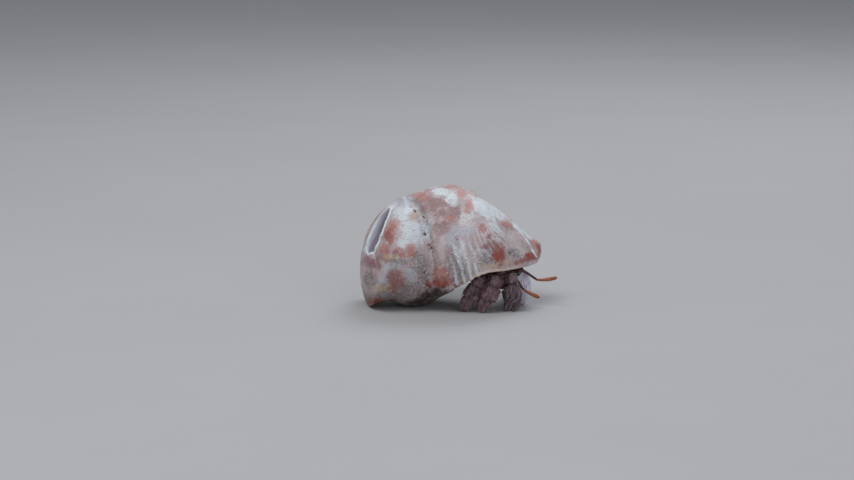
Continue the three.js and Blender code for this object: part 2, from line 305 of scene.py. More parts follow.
def shellTurn():
    yaw, pitch = math.radians(shellShape["yaw"]), math.radians(shellShape["pitch"])
    about = np.array([[math.cos(yaw), -math.sin(yaw), 0], [math.sin(yaw), math.cos(yaw), 0], [0, 0, 1]])
    down = np.array([[math.cos(pitch), 0, math.sin(pitch)], [0, 1, 0],
                     [-math.sin(pitch), 0, math.cos(pitch)]])
    return about @ down


def toWorld(points):
    return points @ shellTurn().T + shellShape["at"] + middle


def toShell(points):
    return (points - shellShape["at"] - middle) @ shellTurn()


def lipShift(u, r, n):  # how far the lip runs ahead, in degrees
    near = ease(n, -0.2, 0) * ease(r, 7.5, 9.4)
    start, most, end = shellShape["archAt"]
    arch = shellShape["arch"] * ease(u, start, most) * (1 - ease(u, most, end))
    return near * (shellShape["lipLead"] * np.exp(-((np.maximum(u, 0) / shellShape["lead"]) ** 1.5)) - arch)


def onShell(n, u, r):  # the point on turn n, u along the axis and r out from it
    scale = shellShape["growth"] ** n
    along = shellShape["spire"] * (scale - 1) + u * scale
    angle = np.radians(shellShape["lipAngle"] + 360 * n + lipShift(u, r, n))
    out = r * scale * (1 + shellShape["bulge"] * ease(-n, *shellShape["bulges"]))
    return np.stack([along, -out * np.sin(angle), out * np.cos(angle)], axis=-1)


def tubeMiddle(turn):
    along, out = shellShape["tubeAt"]
    return toWorld(onShell(turn, np.full(len(turn), along), np.full(len(turn), out)))


def coil(outline, start, end):  # the outline, led along the coil from turn start to turn end
    steps = round((end - start) * shellShape["ringsEachTurn"])
    count = len(outline)
    shapes = [(start + (end - start) * i / steps, 1) for i in range(steps + 1)]
    if end == 0:  # smaller and smaller rings close the lip's end, so that it follows its own edge
        shapes += [(0, k) for k in (0.96, 0.9, 0.84, 0.76, 0.66, 0.5, 0.3, 0.1)]
    rings = [onShell(np.full(count, n), outline[:, 0], outline[:, 1] * k) for n, k in shapes]
    faces = bandFaces(len(rings), count, flipped=True)
    faces.append(tuple(range(count)))
    faces.append(tuple(reversed(range((len(rings) - 1) * count, len(rings) * count))))
    return meshObject("coil", np.vstack(rings), faces)


def turnedForm(outline, along=0, up=0, sides=96):  # outline: pairs of out from the axis and along it
    angles = np.arange(sides) * 2 * math.pi / sides
    points = [(at + along, out * math.sin(a), out * math.cos(a) + up) for out, at in outline for a in angles]
    faces = bandFaces(len(outline), sides)
    faces.append(tuple(reversed(range(sides))))
    faces.append(tuple(range((len(outline) - 1) * sides, len(outline) * sides)))
    return meshObject("turned", points, faces)


def ball(centre, radius, rows=40, sides=64):
    points, faces = [], bandFaces(rows - 1, sides, flipped=True)
    for i in range(1, rows):
        tilt = math.pi * i / rows
        for j in range(sides):
            a = 2 * math.pi * j / sides
            points.append((math.sin(tilt) * math.cos(a), math.sin(tilt) * math.sin(a), math.cos(tilt)))
    points += [(0, 0, 1), (0, 0, -1)]
    top, last = len(points) - 2, (rows - 2) * sides
    for j in range(sides):
        faces.append((j, (j + 1) % sides, top))
        faces.append((last + (j + 1) % sides, last + j, top + 1))
    return meshObject("ball", np.array(points) * radius + centre, faces)


def outward(piece):  # turns every face to look out
    work = bmesh.new()
    work.from_mesh(piece.data)
    bmesh.ops.recalc_face_normals(work, faces=work.faces[:])
    if work.calc_volume(signed=True) < 0:
        bmesh.ops.reverse_faces(work, faces=work.faces[:])
    work.to_mesh(piece.data)
    work.free()
    return piece


def combine(piece, operation, *others):
    for other in others:
        outward(other)
        throughModifiers(piece, ("BOOLEAN", {"operation": operation, "solver": "MANIFOLD", "object": other}))
        bpy.data.objects.remove(other)


def holeAxes():  # along the worn hole, across it and into it
    runs, faces = unit(shellShape["holeRuns"]), unit(shellShape["holeFaces"])
    wide = unit(np.cross(faces, runs))
    return np.array([runs, wide, np.cross(runs, wide)])


def rawShell():  # the joined turns in the shell's own frame, with its axis along x
    edge = cubic(shellShape["profile"], 80)
    outline = np.vstack([edge, [edge[-1, 0], 0.1], [0, 0.1]])
    part = shellShape["turns"] / 3
    body = outward(coil(outline, -shellShape["turns"], -2 * part))
    combine(body, "UNION", coil(outline, -2 * part, -part), coil(outline, -part, 0))
    combine(body, "UNION", turnedForm(shellShape["core"], sides=32))
    tube = cubic(shellShape["cavity"], 96, closed=True)
    start, split, end = shellShape["hollowTurns"]
    combine(body, "DIFFERENCE", coil(tube, start, split), coil(tube, split, end))
    combine(body, "UNION", turnedForm(shellShape["filled"], up=shellShape["filledUp"]))
    wide, deep, rim = shellShape["worn"]
    worn = [(wide * math.sin(a), -deep * math.cos(a)) for a in np.linspace(0.02, math.radians(rim), 40)]
    combine(body, "INTERSECT", turnedForm(worn + [(30, 12), (30, 40)], *shellShape["wornAt"]))
    front = cubic(shellShape["front"], 40)
    combine(body, "INTERSECT", turnedForm([(30, -40)] + front.tolist()))
    hole = ball((0, 0, 0), 1)
    pear = pointsOf(hole)
    pear[:, 1] *= 1 + shellShape["holeTaper"] * pear[:, 0]
    setPoints(hole, (pear * shellShape["holeHalf"]) @ holeAxes() + shellShape["holeAt"])
    combine(body, "DIFFERENCE", hole)
    return body


def keepLargest(piece):  # drops the loose bits
    work = bmesh.new()
    work.from_mesh(piece.data)
    left, groups = set(work.verts), []
    while left:
        group, edge = set(), [left.pop()]
        while edge:
            v = edge.pop()
            group.add(v)
            for e in v.link_edges:
                w = e.other_vert(v)
                if w in left:
                    left.discard(w)
                    edge.append(w)
        groups.append(group)
    groups.sort(key=len)
    for group in groups[:-1]:
        bmesh.ops.delete(work, geom=list(group), context="VERTS")
    work.to_mesh(piece.data)
    work.free()


def shellPlace(local):  # turn, along and out of each point, on the turn whose wall it is nearest to
    profile = cubic(shellShape["profile"], 200)
    angle = np.degrees(np.arctan2(-local[:, 1], local[:, 2]))
    radius = np.hypot(local[:, 1], local[:, 2])
    best = np.full(len(local), 99.0)
    turn, along, out = np.zeros(len(local)), np.zeros(len(local)), np.zeros(len(local))
    for k in (0, -1, -2):
        n = (angle - shellShape["lipAngle"]) / 360 + k
        n = np.where(n > 0.11, n - 1, n) if k == 0 else n  # nothing lies far past the lip
        scale = shellShape["growth"] ** n
        u = (local[:, 0] - shellShape["spire"] * (scale - 1)) / scale
        r = radius / (scale * (1 + shellShape["bulge"] * ease(-n, *shellShape["bulges"])))
        wall = np.interp(u, profile[:, 0], profile[:, 1])
        off = np.abs(r - wall) + np.where((u < -0.2) | (u > 25.6), 5, 0) + np.maximum(n, 0) * 4
        closer = off < best
        best = np.where(closer, off, best)
        turn, along, out = (np.where(closer, a, b) for a, b in ((n, turn), (u, along), (r, out)))
    return turn, along, out


# where the front view aims, its tilt down in degrees, and how wide it is there
frontView = {"target": (-5.32, -0.04, 11.57), "tilt": 10, "wide": 152.012, "lens": 100, "sensor": 36}
shellMarks = {
    # each is x and z as seen from the front, half width, half height and lean
    "white": [(-9.8, 16.4, 2.1, 1.6, 0), (-7.8, 13.2, 2.7, 2.1, -10), (-9.3, 11.0, 1.4, 1.1, 0),
              (-8.9, 19.2, 1.4, 0.4, 0), (-11.4, 17.6, 1.2, 0.7, 30), (-2.8, 20.1, 1.6, 0.8, 0),
              (-0.9, 19.2, 1.1, 1.1, 0), (5.7, 17.1, 3.7, 1.6, -33), (4.1, 18.0, 2.5, 1.6, -20),
              (1.8, 16.0, 1.1, 2.3, 0), (6.9, 13.5, 1.6, 0.7, -40), (11.6, 13.3, 2.5, 0.4, -38),
              (-13.6, 12.2, 0.4, 0.4, 0), (0.7, 9.4, 0.5, 1.6, -10), (-14.2, 13.7, 0.4, 1.6, -30),
              (-15.5, 11.2, 0.5, 1.6, -12), (-16.0, 9.8, 0.7, 0.5, 0), (7.3, 11.6, 0.7, 0.5, -40)],
    "sky": [(-13.2, 4.6, 0.9, 0.8, 0), (-11.6, 6.8, 1.6, 0.6, 5), (-8.2, 5.3, 1.1, 1.1, 0),
            (-5.5, 14.1, 0.9, 2.0, -12), (0.9, 13.2, 2.1, 1.2, 0), (-1.2, 11.6, 1.2, 1.4, 0),
            (-9.3, 18.2, 2.1, 0.7, 0), (4.1, 9.4, 1.4, 0.7, 0)],
    "blush": [(10.5, 11.4, 1.9, 1.2, -35), (5.4, 13.0, 1.9, 0.9, -35), (-2.9, 10.2, 1.0, 1.8, 0),
              (11.8, 9.4, 1.3, 0.8, -30), (1.6, 14.6, 1.4, 1.0, 0), (2.4, 8.2, 1.6, 2.0, -15)],
    "cream": [(-7.8, 15.8, 0.8, 0.7, 0), (-11.9, 8.7, 1.6, 0.5, 0), (9.1, 7.7, 1.1, 0.5, 0),
              (5.9, 6.9, 2.5, 0.4, 0), (-13.0, 3.0, 2.1, 0.5, 0)],
    "brown": [(-3.7, 18.0, 2.5, 2.1, 0), (-3.0, 13.9, 2.0, 1.6, 0), (0.0, 16.2, 1.4, 1.8, 0),
              (-2.5, 16.4, 1.8, 1.1, 0), (-3.0, 10.1, 1.6, 2.5, 0), (-12.8, 8.7, 1.6, 1.1, 0),
              (8.9, 14.1, 1.4, 0.8, -20), (6.2, 10.5, 1.4, 1.4, 0), (-14.2, 7.1, 1.1, 0.7, 0)],
    "salmon": [(-8.4, 9.9, 0.9, 1.0, 0), (-11.7, 13.3, 1.1, 2.1, -10), (-13.0, 9.8, 1.1, 1.1, 0),
               (-9.8, 8.9, 0.7, 0.4, 0), (-10.7, 9.8, 1.2, 0.5, 0), (-6.6, 19.4, 1.4, 0.9, 0),
               (-8.7, 19.9, 1.8, 0.4, 8), (-1.1, 21.2, 1.8, 0.5, -5), (0.9, 19.8, 0.9, 0.9, -40),
               (2.0, 17.6, 0.9, 1.6, -10), (4.6, 13.6, 0.8, 0.5, -30), (-3.2, 5.6, 1.5, 1.1, 0),
               (-1.9, 15.4, 1.1, 0.45, 10), (8.7, 14.4, 1.1, 0.5, -20), (14.2, 11.0, 0.9, 0.9, -30)],
    "plum": [(-15.8, 7.7, 1.2, 0.9, -10), (5.7, 12.3, 0.4, 0.6, -35), (5.1, 10.5, 0.7, 0.4, 0),
             (-11.0, 9.4, 0.9, 0.4, 0)],
    "russet": [(-10.9, 4.6, 1.4, 1.6, 0), (-11.2, 3.0, 1.1, 0.9, 0), (-3.3, 4.4, 2.2, 0.8, 0),
               (-12.1, 12.3, 0.8, 1.3, -15), (7.5, 9.3, 1.0, 2.1, 0), (13.2, 8.9, 0.8, 1.1, -40),
               (14.8, 9.6, 0.6, 1.6, 10), (-14.1, 0.7, 2.5, 0.6, 0), (11.2, 7.7, 2.1, 0.4, 15),
               (1.3, 4.0, 2.0, 0.4, 28)],
    "rust": [(-3.1, 3.8, 2.4, 0.75, 2), (7.5, 8.4, 0.8, 1.3, 0), (13.2, 8.6, 0.9, 0.7, -35),
             (15.0, 9.4, 0.4, 1.1, 10), (-14.4, 0.5, 1.8, 0.4, 0)],
    "grey": [(4.4, 8.2, 2.0, 1.4, 0), (10.3, 9.3, 1.2, 0.8, -20), (-6.6, 7.5, 1.6, 2.0, 0),
             (-5.9, 4.8, 1.1, 1.6, 0), (-15.5, 4.5, 1.2, 1.6, 0), (-10.0, 7.7, 1.4, 0.7, 0),
             (0.2, 6.6, 2.1, 2.8, -8), (-8.0, 3.0, 2.5, 1.2, 0), (-11.9, 1.6, 3.6, 0.9, 0)],
    # near-black patches low on the front: painted shadow where shade falls under the shell
    "paintedShadow": [(-3.4, 2.0, 2.9, 1.0, 8), (-6.6, 0.6, 2.6, 0.7, 8)],
    "speck": [(0.0, 11.7, 0.3, 0.2, 0), (6.7, 11.4, 0.2, 0.2, 0), (-6.6, 11.7, 0.2, 0.3, 0),
              (-8.2, 17.4, 0.4, 0.2, -20), (-7.4, 16.6, 0.5, 0.2, -55), (-5.1, 10.8, 0.2, 0.2, 0),
              (-4.7, 10.1, 0.2, 0.2, 0), (-5.3, 6.9, 0.3, 0.2, 0), (-5.8, 5.7, 0.3, 0.3, 0),
              (-5.7, 12.6, 0.2, 0.2, 0), (-4.8, 12.3, 0.2, 0.5, 0), (-6.2, 15.7, 0.4, 0.2, -30),
              (-10.9, 0.4, 0.3, 0.2, 0), (3.7, 9.1, 0.2, 0.3, 0), (5.1, 10.0, 0.2, 0.1, 0),
              (9.4, 9.2, 0.4, 0.2, -30), (8.5, 10.3, 0.2, 0.4, -10), (-5.5, 8.7, 0.3, 0.3, 0)],
}
shellRelief = {
    # heights and depths in millimetres. A pair is where something sets in and where it is full
    "cordEvery": 1.36, "cordHigh": 0.25, "cordLean": 15, "cordFan": 54, "cordFans": (7, 12),
    "cordTurns": (-0.2, -0.09), "cordFrom": (2.7, 3.4), "cordWeak": (6.9, 8.2), "cordEnds": (11, 14),
    "cordFoot": (4, 6), "cordTop": (11.6, 13.8),
    "stripeTurns": (-0.3, -0.2), "stripeFrom": (5, 7.5), "stripeEnds": (12.5, 15),
    "stripeFoot": (9.2, 11), "stripeTop": (14, 16.5),
    "growthEvery": 0.42, "growthHigh": 0.03, "lumps": 0.25, "fine": 0.05, "innerGrain": 0.03,
    "sutureDeep": 0.25, "sutureTurns": (-1.25, -1.1), "pitEvery": 0.48, "pitSize": (0.08, 0.27),
    "pitDeep": 0.3, "tinyEvery": 0.42, "tinySize": (0.12, 0.3), "tinyDeep": 0.06, "speckDeep": 0.08,
    "rim": 0.2, "lip": 0.1, "band": 0.18, "bandFrom": (0.2, 0.7), "bandEnds": (2.8, 3.6),
    "crest": 0.16, "crestWide": 0.22, "crestLine": [(10.2, 14.0), (11.7, 12.5), (13.0, 10.5), (14.1, 8.6)],
    # x and z as seen from the front, height and width
    "knobs": [(-15.4, 7.9, 0.45, 1.0), (-9.1, 19.0, 0.5, 0.9), (-13.55, 12.2, 0.3, 0.4)],
    "clearOfFloor": (0.02, 0.6), "pastBox": 0.15,
}


def viewFrame():  # the front view's place, its right, up and back directions and its distance
    tilt = math.radians(frontView["tilt"])
    right = np.array([1.0, 0, 0])
    back = np.array([0, -math.cos(tilt), math.sin(tilt)])
    away = frontView["wide"] * frontView["lens"] / frontView["sensor"]
    return frontView["target"] + middle + away * back, right, np.cross(back, right), back, away


def lineDistance(across, upward, line):  # as seen from the front
    points = np.stack([across, upward], axis=1)
    line = cubic(line, 30)
    best = np.full(len(points), 99.0)
    for a, b in zip(line[:-1], line[1:]):
        t = np.clip((points - a) @ (b - a) / ((b - a) @ (b - a)), 0, 1)
        best = np.minimum(best, np.linalg.norm(points - a - t[:, None] * (b - a), axis=1))
    return best


class ShellSkin:  # what lies at each point of the shell, mostly as masks from 0 to 1
    def __init__(self, points, normals):
        self.points, self.normals = points, normals
        self.local = toShell(points)
        self.turn, self.along, self.out = shellPlace(self.local)
        self.waver = layered(points, 2.6, 3) - 0.5
        self.fine = layered(points, 0.7, 9) - 0.5
        self.lookFromFront()
        self.openings()
        self.cords()
        self.wear()
        self.edges()

    def lookFromFront(self):
        place, right, up, back, away = viewFrame()
        self.depth = (place - self.points) @ back
        target = frontView["target"]
        self.across = target[0] + (self.points - place) @ right * away / self.depth
        self.upward = target[2] + (self.points - place) @ up * away / self.depth
        self.facing = self.normals @ back

    def shownPoint(self, x, z):  # the nearest point that the front view shows there
        near = np.hypot(self.across - x, self.upward - z)
        return self.points[np.argmin(np.where((self.facing > 0.02) & (near < 0.3), self.depth, 1e9))]

    def spots(self, name, wobble, soft):  # marks that lie on the surface as seen from the front
        mask = np.zeros(len(self.points))
        for x, z, wide, high, lean in shellMarks[name]:
            centre = self.shownPoint(x, z)
            a = math.radians(lean)
            dx, dz = self.across - x, self.upward - z
            along = (dx * math.cos(a) + dz * math.sin(a)) / wide
            over = (dz * math.cos(a) - dx * math.sin(a)) / high
            deep = (self.points[:, 1] - centre[1]) / (3.5 + 1.5 * max(wide, high))  # not right through
            away = np.sqrt(along ** 2 + over ** 2 + deep ** 4)
            mask = np.maximum(mask, 1 - ease(away + wobble, 1 - soft, 1 + soft))
        return mask

    def openings(self):  # the walls of the opening and of the worn hole
        toTube = unit(tubeMiddle(self.turn) - self.points)
        self.inside = ease(np.sum(self.normals * toTube, axis=1), -0.15, 0.25) * ease(self.turn, -1.1, -0.98)
        centre, half = np.array([shellShape["holeAt"]]), shellShape["holeHalf"]
        toHole = (self.local - centre) @ holeAxes().T / half
        toHole[:, 1] /= 1 + shellShape["holeTaper"] * np.clip(toHole[:, 0], -1, 1)
        reach = np.linalg.norm(toHole, axis=1)
        self.holeAway = (reach - 1) * reach / np.linalg.norm(toHole / half, axis=1)
        facing = np.sum(self.normals * unit(toWorld(centre) - self.points), axis=1)
        self.left = 1 - ease(self.local[:, 0], -5, -4)
        self.inHole = ease(facing, 0.05, 0.4) * (1 - ease(self.holeAway, 0.05, 0.15)) * self.left
        self.outer = (1 - self.inside) * (1 - self.inHole)
        across, _, upward = (self.points - toWorld(centre)).T
        slope = shellShape["holeRuns"][0] / shellShape["holeRuns"][2]
        # 0 on the left wall of the worn hole and 1 on its right, to lay painted light on the left and
        # painted shade on the right
        self.holeShade = ease(across - slope * upward + self.waver, -1.1, 1.7)

    def cords(self):  # cords by the lip, flat stripes above them and growth lines
        relief, turn, along, z = shellRelief, self.turn, self.along, self.points[:, 2]
        lean = relief["cordLean"] + relief["cordFan"] * ease(along, *relief["cordFans"])
        place = (along - lean * (turn + 0.05) + 1.3 * self.waver) / relief["cordEvery"]
        self.cord = 0.5 + 0.5 * np.cos(2 * math.pi * place)
        zone = ease(turn, *relief["cordTurns"]) * ease(along, *relief["cordFrom"])
        zone = zone * (1 - 0.9 * ease(along, *relief["cordWeak"]))
        zone = zone * (1 - ease(along, *relief["cordEnds"])) * ease(z, *relief["cordFoot"])
        stripes = ease(along, *relief["stripeFrom"]) * (1 - ease(along, *relief["stripeEnds"]))
        stripes = stripes * ease(turn, *relief["stripeTurns"]) * (1 - zone)
        self.stripes = stripes * (1 - ease(z, *relief["stripeTop"])) * ease(z, *relief["stripeFoot"])
        zone = zone * (1 - ease(z + 6 * self.waver, *relief["cordTop"]))
        self.cordZone = zone * (0.75 + 1.5 * self.waver)
        self.lineZone = ease(layered(self.points, 5, 21), 0.35, 0.6) * (1 - 0.6 * self.cordZone)
        # millimetres behind the lip, where the tube is 11 mm from the axis
        self.behindLip = (turn - lipShift(along, self.out, turn) / 360) * 2 * math.pi * 11
        growth = self.behindLip / relief["growthEvery"] + 3 * self.waver + self.fine
        self.growth = np.cos(2 * math.pi * growth)

    def wear(self):  # the seam between turns, its pits, and grey and dark specks
        relief, turn, along = shellRelief, self.turn, self.along
        seam = ease(turn, *relief["sutureTurns"])
        self.suture = hump(along, 0.1, 0.35) * seam
        holes = grains(self.points + (1.3 * self.fine)[:, None], relief["pitEvery"], 5)
        holes = 1 - ease(holes, *relief["pitSize"])
        shoulder = hump(along, 11.8, 1.3) * ease(turn, -1.25, -1.15) * (1 - ease(turn, -0.9, -0.8))
        beside = hump(along, -0.2, 0.8) * seam * ease(turn, -0.32, -0.3)
        self.pits = np.maximum(holes * shoulder, holes * beside)
        self.tinyPits = 1 - ease(grains(self.points, relief["tinyEvery"], 15), *relief["tinySize"])
        self.grey = self.spots("grey", 0.9 * self.fine, 0.45)
        self.speck = self.spots("speck", 3.4 * self.fine + 0.4, 0.55)

    def edges(self):  # the rim of the hole, the lip, the crest, the band by the seam and the knobs
        relief, turn, along = shellRelief, self.turn, self.along
        self.rim = hump(self.holeAway - 0.3 + 0.3 * self.fine, 0, 0.34) * (1 - self.inHole) * self.left
        self.lip = hump(self.behindLip, -0.12, 0.26) * ease(turn, -0.1, -0.03)
        crest = hump(lineDistance(self.across, self.upward, relief["crestLine"]), 0, relief["crestWide"])
        self.crest = crest * ease(self.facing, -0.1, 0.2) * self.outer * (0.75 + 2 * self.fine)
        band = ease(along, *relief["bandFrom"]) * (1 - ease(along, *relief["bandEnds"]))
        self.band = band * ease(turn, -0.24, -0.12)
        self.knobs = np.zeros(len(turn))
        for x, z, high, wide in relief["knobs"]:
            away = np.linalg.norm(self.points - self.shownPoint(x, z), axis=1)
            self.knobs += high * hump(away, 0, wide)

    def raised(self):  # the points, moved out by the relief
        relief, waver, fine = shellRelief, self.waver, self.fine
        cords = 0.08 * self.lineZone + self.cordZone + 0.25 * self.stripes
        height = relief["cordHigh"] * (self.cord - 0.5) * cords
        height = height + relief["growthHigh"] * self.growth * (0.3 + 0.7 * ease(waver, -0.05, 0.15))
        height = height + relief["lumps"] * waver + relief["fine"] * fine
        height = height - relief["sutureDeep"] * self.suture - relief["pitDeep"] * self.pits
        height = height - relief["tinyDeep"] * self.tinyPits * self.grey
        height = height + relief["rim"] * self.rim + relief["crest"] * self.crest + self.knobs
        height = height + relief["band"] * self.band
        height = height - relief["speckDeep"] * self.speck + relief["lip"] * self.lip
        height = height * self.outer * ease(self.points[:, 2], *relief["clearOfFloor"])
        height = height + relief["innerGrain"] * fine * (1 - self.outer)
        moved = self.points + self.normals * height[:, None]
        moved[:, 2] = np.maximum(moved[:, 2], 0)
        low, high = (np.array(c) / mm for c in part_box("shell"))
        past = relief["pastBox"]
        return np.clip(moved, low - (past, past, 0), high + past)

    def masks(self):
        points, waver, fine = self.points, self.waver, self.fine
        near = 1 - ease(points[:, 1] + 9 * waver, -1.5, 4.5)  # the side seen from the front
        wobble = 1.5 * (layered(points, 1.3, 31) - 0.5) + 1.2 * fine
        far = layered(points, 4.6, 41) + 0.35 * fine
        elsewhere = {"salmon": ease(far, 0.5, 0.64), "white": 1 - ease(far, 0.3, 0.48),
                     "russet": ease(far, 0.62, 0.74),
                     "grey": 0.6 * ease(layered(points, 2.2, 61), 0.5, 0.62),
                     "brown": ease(layered(points, 5.5, 71), 0.52, 0.62)}
        made = {}
        for name in shellMarks:
            if name != "speck":
                mask = self.grey if name == "grey" else self.spots(name, wobble, 0.75)
                made[name] = np.maximum(mask * near, elsewhere.get(name, 0) * (1 - near))
        made["inside"] = np.maximum(self.inside, 0.75 * self.inHole)
        made["hollow"] = self.inHole
        made["shade"] = self.holeShade
        made["cord"] = self.cord * self.cordZone
        made["furrow"] = (1 - self.cord) * self.cordZone
        made["stripe"] = (2 * self.cord - 1) * self.stripes
        made["line"] = 0.5 + 0.5 * self.growth
        made["pit"] = np.clip(self.pits + 0.5 * self.suture * ease(fine, -0.02, 0.1) + self.speck, 0, 1)
        made["pale"] = np.clip(self.rim + self.crest, 0, 1)
        made["edge"] = self.lip * (1 - 0.8 * ease(points[:, 0], 9.5, 12))
        # darker towards the floor: partly dirt, partly painted shade on the underside
        made["grimeAndShade"] = 1 - ease(points[:, 2] + 3 * waver, 0.4, 4.5)
        return made


def makeShell():
    print("shell: joining the turns")
    shell = rawShell()
    shell.name = "snail_shell"
    setPoints(shell, toWorld(pointsOf(shell)))
    throughModifiers(shell, ("REMESH", {"mode": "VOXEL", "voxel_size": shellShape["voxel"]}),
                     ("SMOOTH", {"factor": 0.5, "iterations": 3}))
    keepLargest(shell)
    print("shell: relief and colours on", len(shell.data.vertices), "points")
    skin = ShellSkin(pointsOf(shell), normalsOf(shell))
    setPoints(shell, skin.raised() * mm)
    for name, values in skin.masks().items():
        setMask(shell, name, values)
    return shell


shellTints = {
    "ground": "c5b4b3", "groundWarm": "b8a19f", "white": "e3ebec", "sky": "bfc7cf", "blush": "d8cbca",
    "cream": "c9b08c", "brown": "95716e", "salmon": "bb776b", "plum": "96636f", "russet": "99584c",
    # the near-black tint is painted shadow
    "rust": "9b3a22", "grey": "8c8584", "speck": "514340", "paintedShadow": "2c1d18", "grimeAndShade": "6a544b",
    # inside the worn hole: a near-white tint of painted light and a dark grey of painted shade
    "edge": "dcc5ae", "inside": "b59a8c", "deep": "3d2722", "hollow": "cdcad6", "hollowPaintedShade": "877b83",
    "hollowPaintedLight": "f6f8fb",
}
shellOrder = {
    # how much of each tint shows, in the order they are laid on
    "brown": 0.85, "grey": 0.75, "white": 0.95, "sky": 0.65, "blush": 0.75, "cream": 0.75, "salmon": 0.8,
    "russet": 0.8, "plum": 0.8, "rust": 0.95,
}


def markedShell(f, tint, mottle, crisp, broad):  # the ground and every patch of tint on it
    base = f.blend(broad.between(0.42, 0.6), tint["ground"], tint["groundWarm"])
    base = f.blend(mottle.between(0.5, 0.62) * 0.35, base, tint["white"])
    stripe = f.mask("stripe")
    for name, strength in shellOrder.items():
        if name == "russet":
            base = f.blend(stripe.between(0.1, 0.9) * 0.4, base, tint["white"])
            base = f.blend((0 - stripe).between(0.1, 0.9) * 0.3, base, tint["salmon"])
        amount = f.mask(name) + (mottle - 0.5) * 0.9 + (crisp - 0.5) * 0.5
        base = f.blend(amount.between(0.05, 1.0) * strength, base, tint[name])
    return base


def wornShell(f, tint, mottle, crisp, base):  # cords, specks, growth lines, dirt and painted shade low down, painted shadow, edges and pits
    base = f.blend(f.mask("furrow") * 0.55, base, tint["grey"])
    base = f.blend(f.mask("cord").between(0.15, 0.9) * (0.5 + 0.55 * mottle), base, tint["white"])
    base = f.blend(crisp.between(0.53, 0.68) * (0.24 + 0.55 * f.mask("grey")), base, tint["speck"])
    base = f.blend(crisp.between(0.46, 0.34) * (0.18 + 0.4 * f.mask("grey")), base, tint["white"])
    base = f.blend(f.mask("line") * mottle * 0.45, base, tint["brown"])
    base = f.blend((f.mask("pale") * (0.7 + 0.6 * mottle)).between(0.2, 0.8) * 0.9, base, tint["white"])
    # darker low down: dirt with painted shade on the underside
    base = f.blend(f.mask("grimeAndShade") * (0.35 + 0.5 * mottle), base, tint["grimeAndShade"])
    # painted shadow: near-black patches low on the front of the shell
    base = f.blend((f.mask("paintedShadow") + (mottle - 0.5) * 0.6).between(0.0, 1.0) * 0.92, base, tint["paintedShadow"])
    base = f.blend(f.mask("edge") * 0.9, base, tint["edge"])
    return f.blend(f.mask("pit").between(0.25, 0.85) * 0.85, base, tint["speck"])


def shellFinish():
    f = Finish("wornShell")
    tint = {name: colour(text) for name, text in shellTints.items()}
    mottle, broad, crisp = f.noise(1.1, 5, 0.6), f.noise(3.4, 3), f.noise(0.3, 3, 0.6)
    base = wornShell(f, tint, mottle, crisp, markedShell(f, tint, mottle, crisp, broad))
    inner = f.blend(broad.between(0.35, 0.65), tint["inside"], tint["deep"])
    base = f.blend(f.mask("inside"), base, inner)
    # inside the worn hole: painted light on the left wall, painted shade towards the right
    shade = f.mask("shade")
    hollow = f.blend(shade.between(0.1, 0.45), tint["hollowPaintedLight"], tint["hollow"])
    hollow = f.blend(shade.between(0.5, 0.95) * 0.9, hollow, tint["hollowPaintedShade"])
    base = f.blend(f.mask("hollow"), base, hollow)
    relief = (mottle * 0.6 + crisp * 0.4) * (1 - 0.8 * f.mask("hollow"))
    rough = 0.42 + 0.25 * mottle + 0.15 * f.mask("grey") - 0.06 * f.mask("white")
    return f.surface({"Base Color": base, "Roughness": rough, "Normal": f.bump(relief, 0.09, 0.7)})


finishPiece(makeShell(), shellFinish(), "shell", "shell")


# a rounded limb along a path. Its size is share of the length, half width and half height
def sweep(path, size, up=(0, 0, 1), sides=40, rings=40, square=2.3, rounding=0.07):
    dense = cubic(path, 200) if len(path) > 2 else np.linspace(path[0], path[1], 50)
    length = np.r_[0, np.cumsum(np.linalg.norm(np.diff(dense, axis=0), axis=1))]
    length /= length[-1]
    even = np.linspace(0, 1, rings)
    t = (1 - np.cos(np.pi * even)) / 2
    t = 0.002 + 0.996 * (0.55 * t + 0.45 * even)  # rings lie closer near both ends
    centre = np.stack([np.interp(t, length, dense[:, k]) for k in range(3)], axis=1)
    ahead = unit(np.gradient(centre, axis=0))
    side = unit(np.cross(np.broadcast_to(up, ahead.shape), ahead))
    over = np.cross(ahead, side)
    shape = cubic(size, 80)
    shape[:, 0] = np.maximum.accumulate(shape[:, 0])
    ends = np.minimum(t, 1 - t) / rounding
    closing = np.sqrt(np.clip(1 - (1 - np.minimum(ends, 1)) ** 2, 0.0004, 1))
    wide = np.interp(t, shape[:, 0], shape[:, 1]) * closing
    high = np.interp(t, shape[:, 0], shape[:, 2]) * closing
    a = np.arange(sides) * 2 * math.pi / sides
    flat = (np.abs(np.cos(a)) ** square + np.abs(np.sin(a)) ** square) ** (-1 / square)
    across, upward = flat * np.cos(a), flat * np.sin(a)
    points = (centre[:, None] + side[:, None] * (wide[:, None] * across)[..., None]
              + over[:, None] * (high[:, None] * upward)[..., None])
    faces = bandFaces(rings, sides)
    count = rings * sides
    faces += [(count, (j + 1) % sides, j) for j in range(sides)]
    last = count - sides
    faces += [(count + 1, last + j, last + (j + 1) % sides) for j in range(sides)]
    points = np.vstack([points.reshape(-1, 3), centre[:1], centre[-1:]])
    around = np.r_[np.tile(a / (2 * math.pi), rings), 0, 0]
    down = np.r_[np.repeat(t, sides), 0, 1]
    return points + middle, faces, around, down


tipHalf = 0.26  # half the thickness of a leg's or a claw's end
underFloor = -0.06  # ends go down to here and are cut off flat at the floor


def segment(start, end, wide, high, up=(0, 0, 1)):
    size = [(0, 0.82), (0.1, 0.94), (0.55, 1), (0.92, 0.96), (1, 0.86)]
    size = [(t, k * wide, k * high) for t, k in size]
    return {"path": [start, end], "size": size, "up": up, "rounding": 0.16}


def clawTip(start, bend, end, wide, high, up=(0, 0, 1)):
    size = [(0, 0.65 * wide, 0.65 * high), (0.1, 0.92 * wide, 0.92 * high), (0.35, wide, high),
            (0.7, 0.72 * wide, 0.72 * high), (1, tipHalf, tipHalf)]
    return {"path": [start, bend, end], "size": size, "up": up}


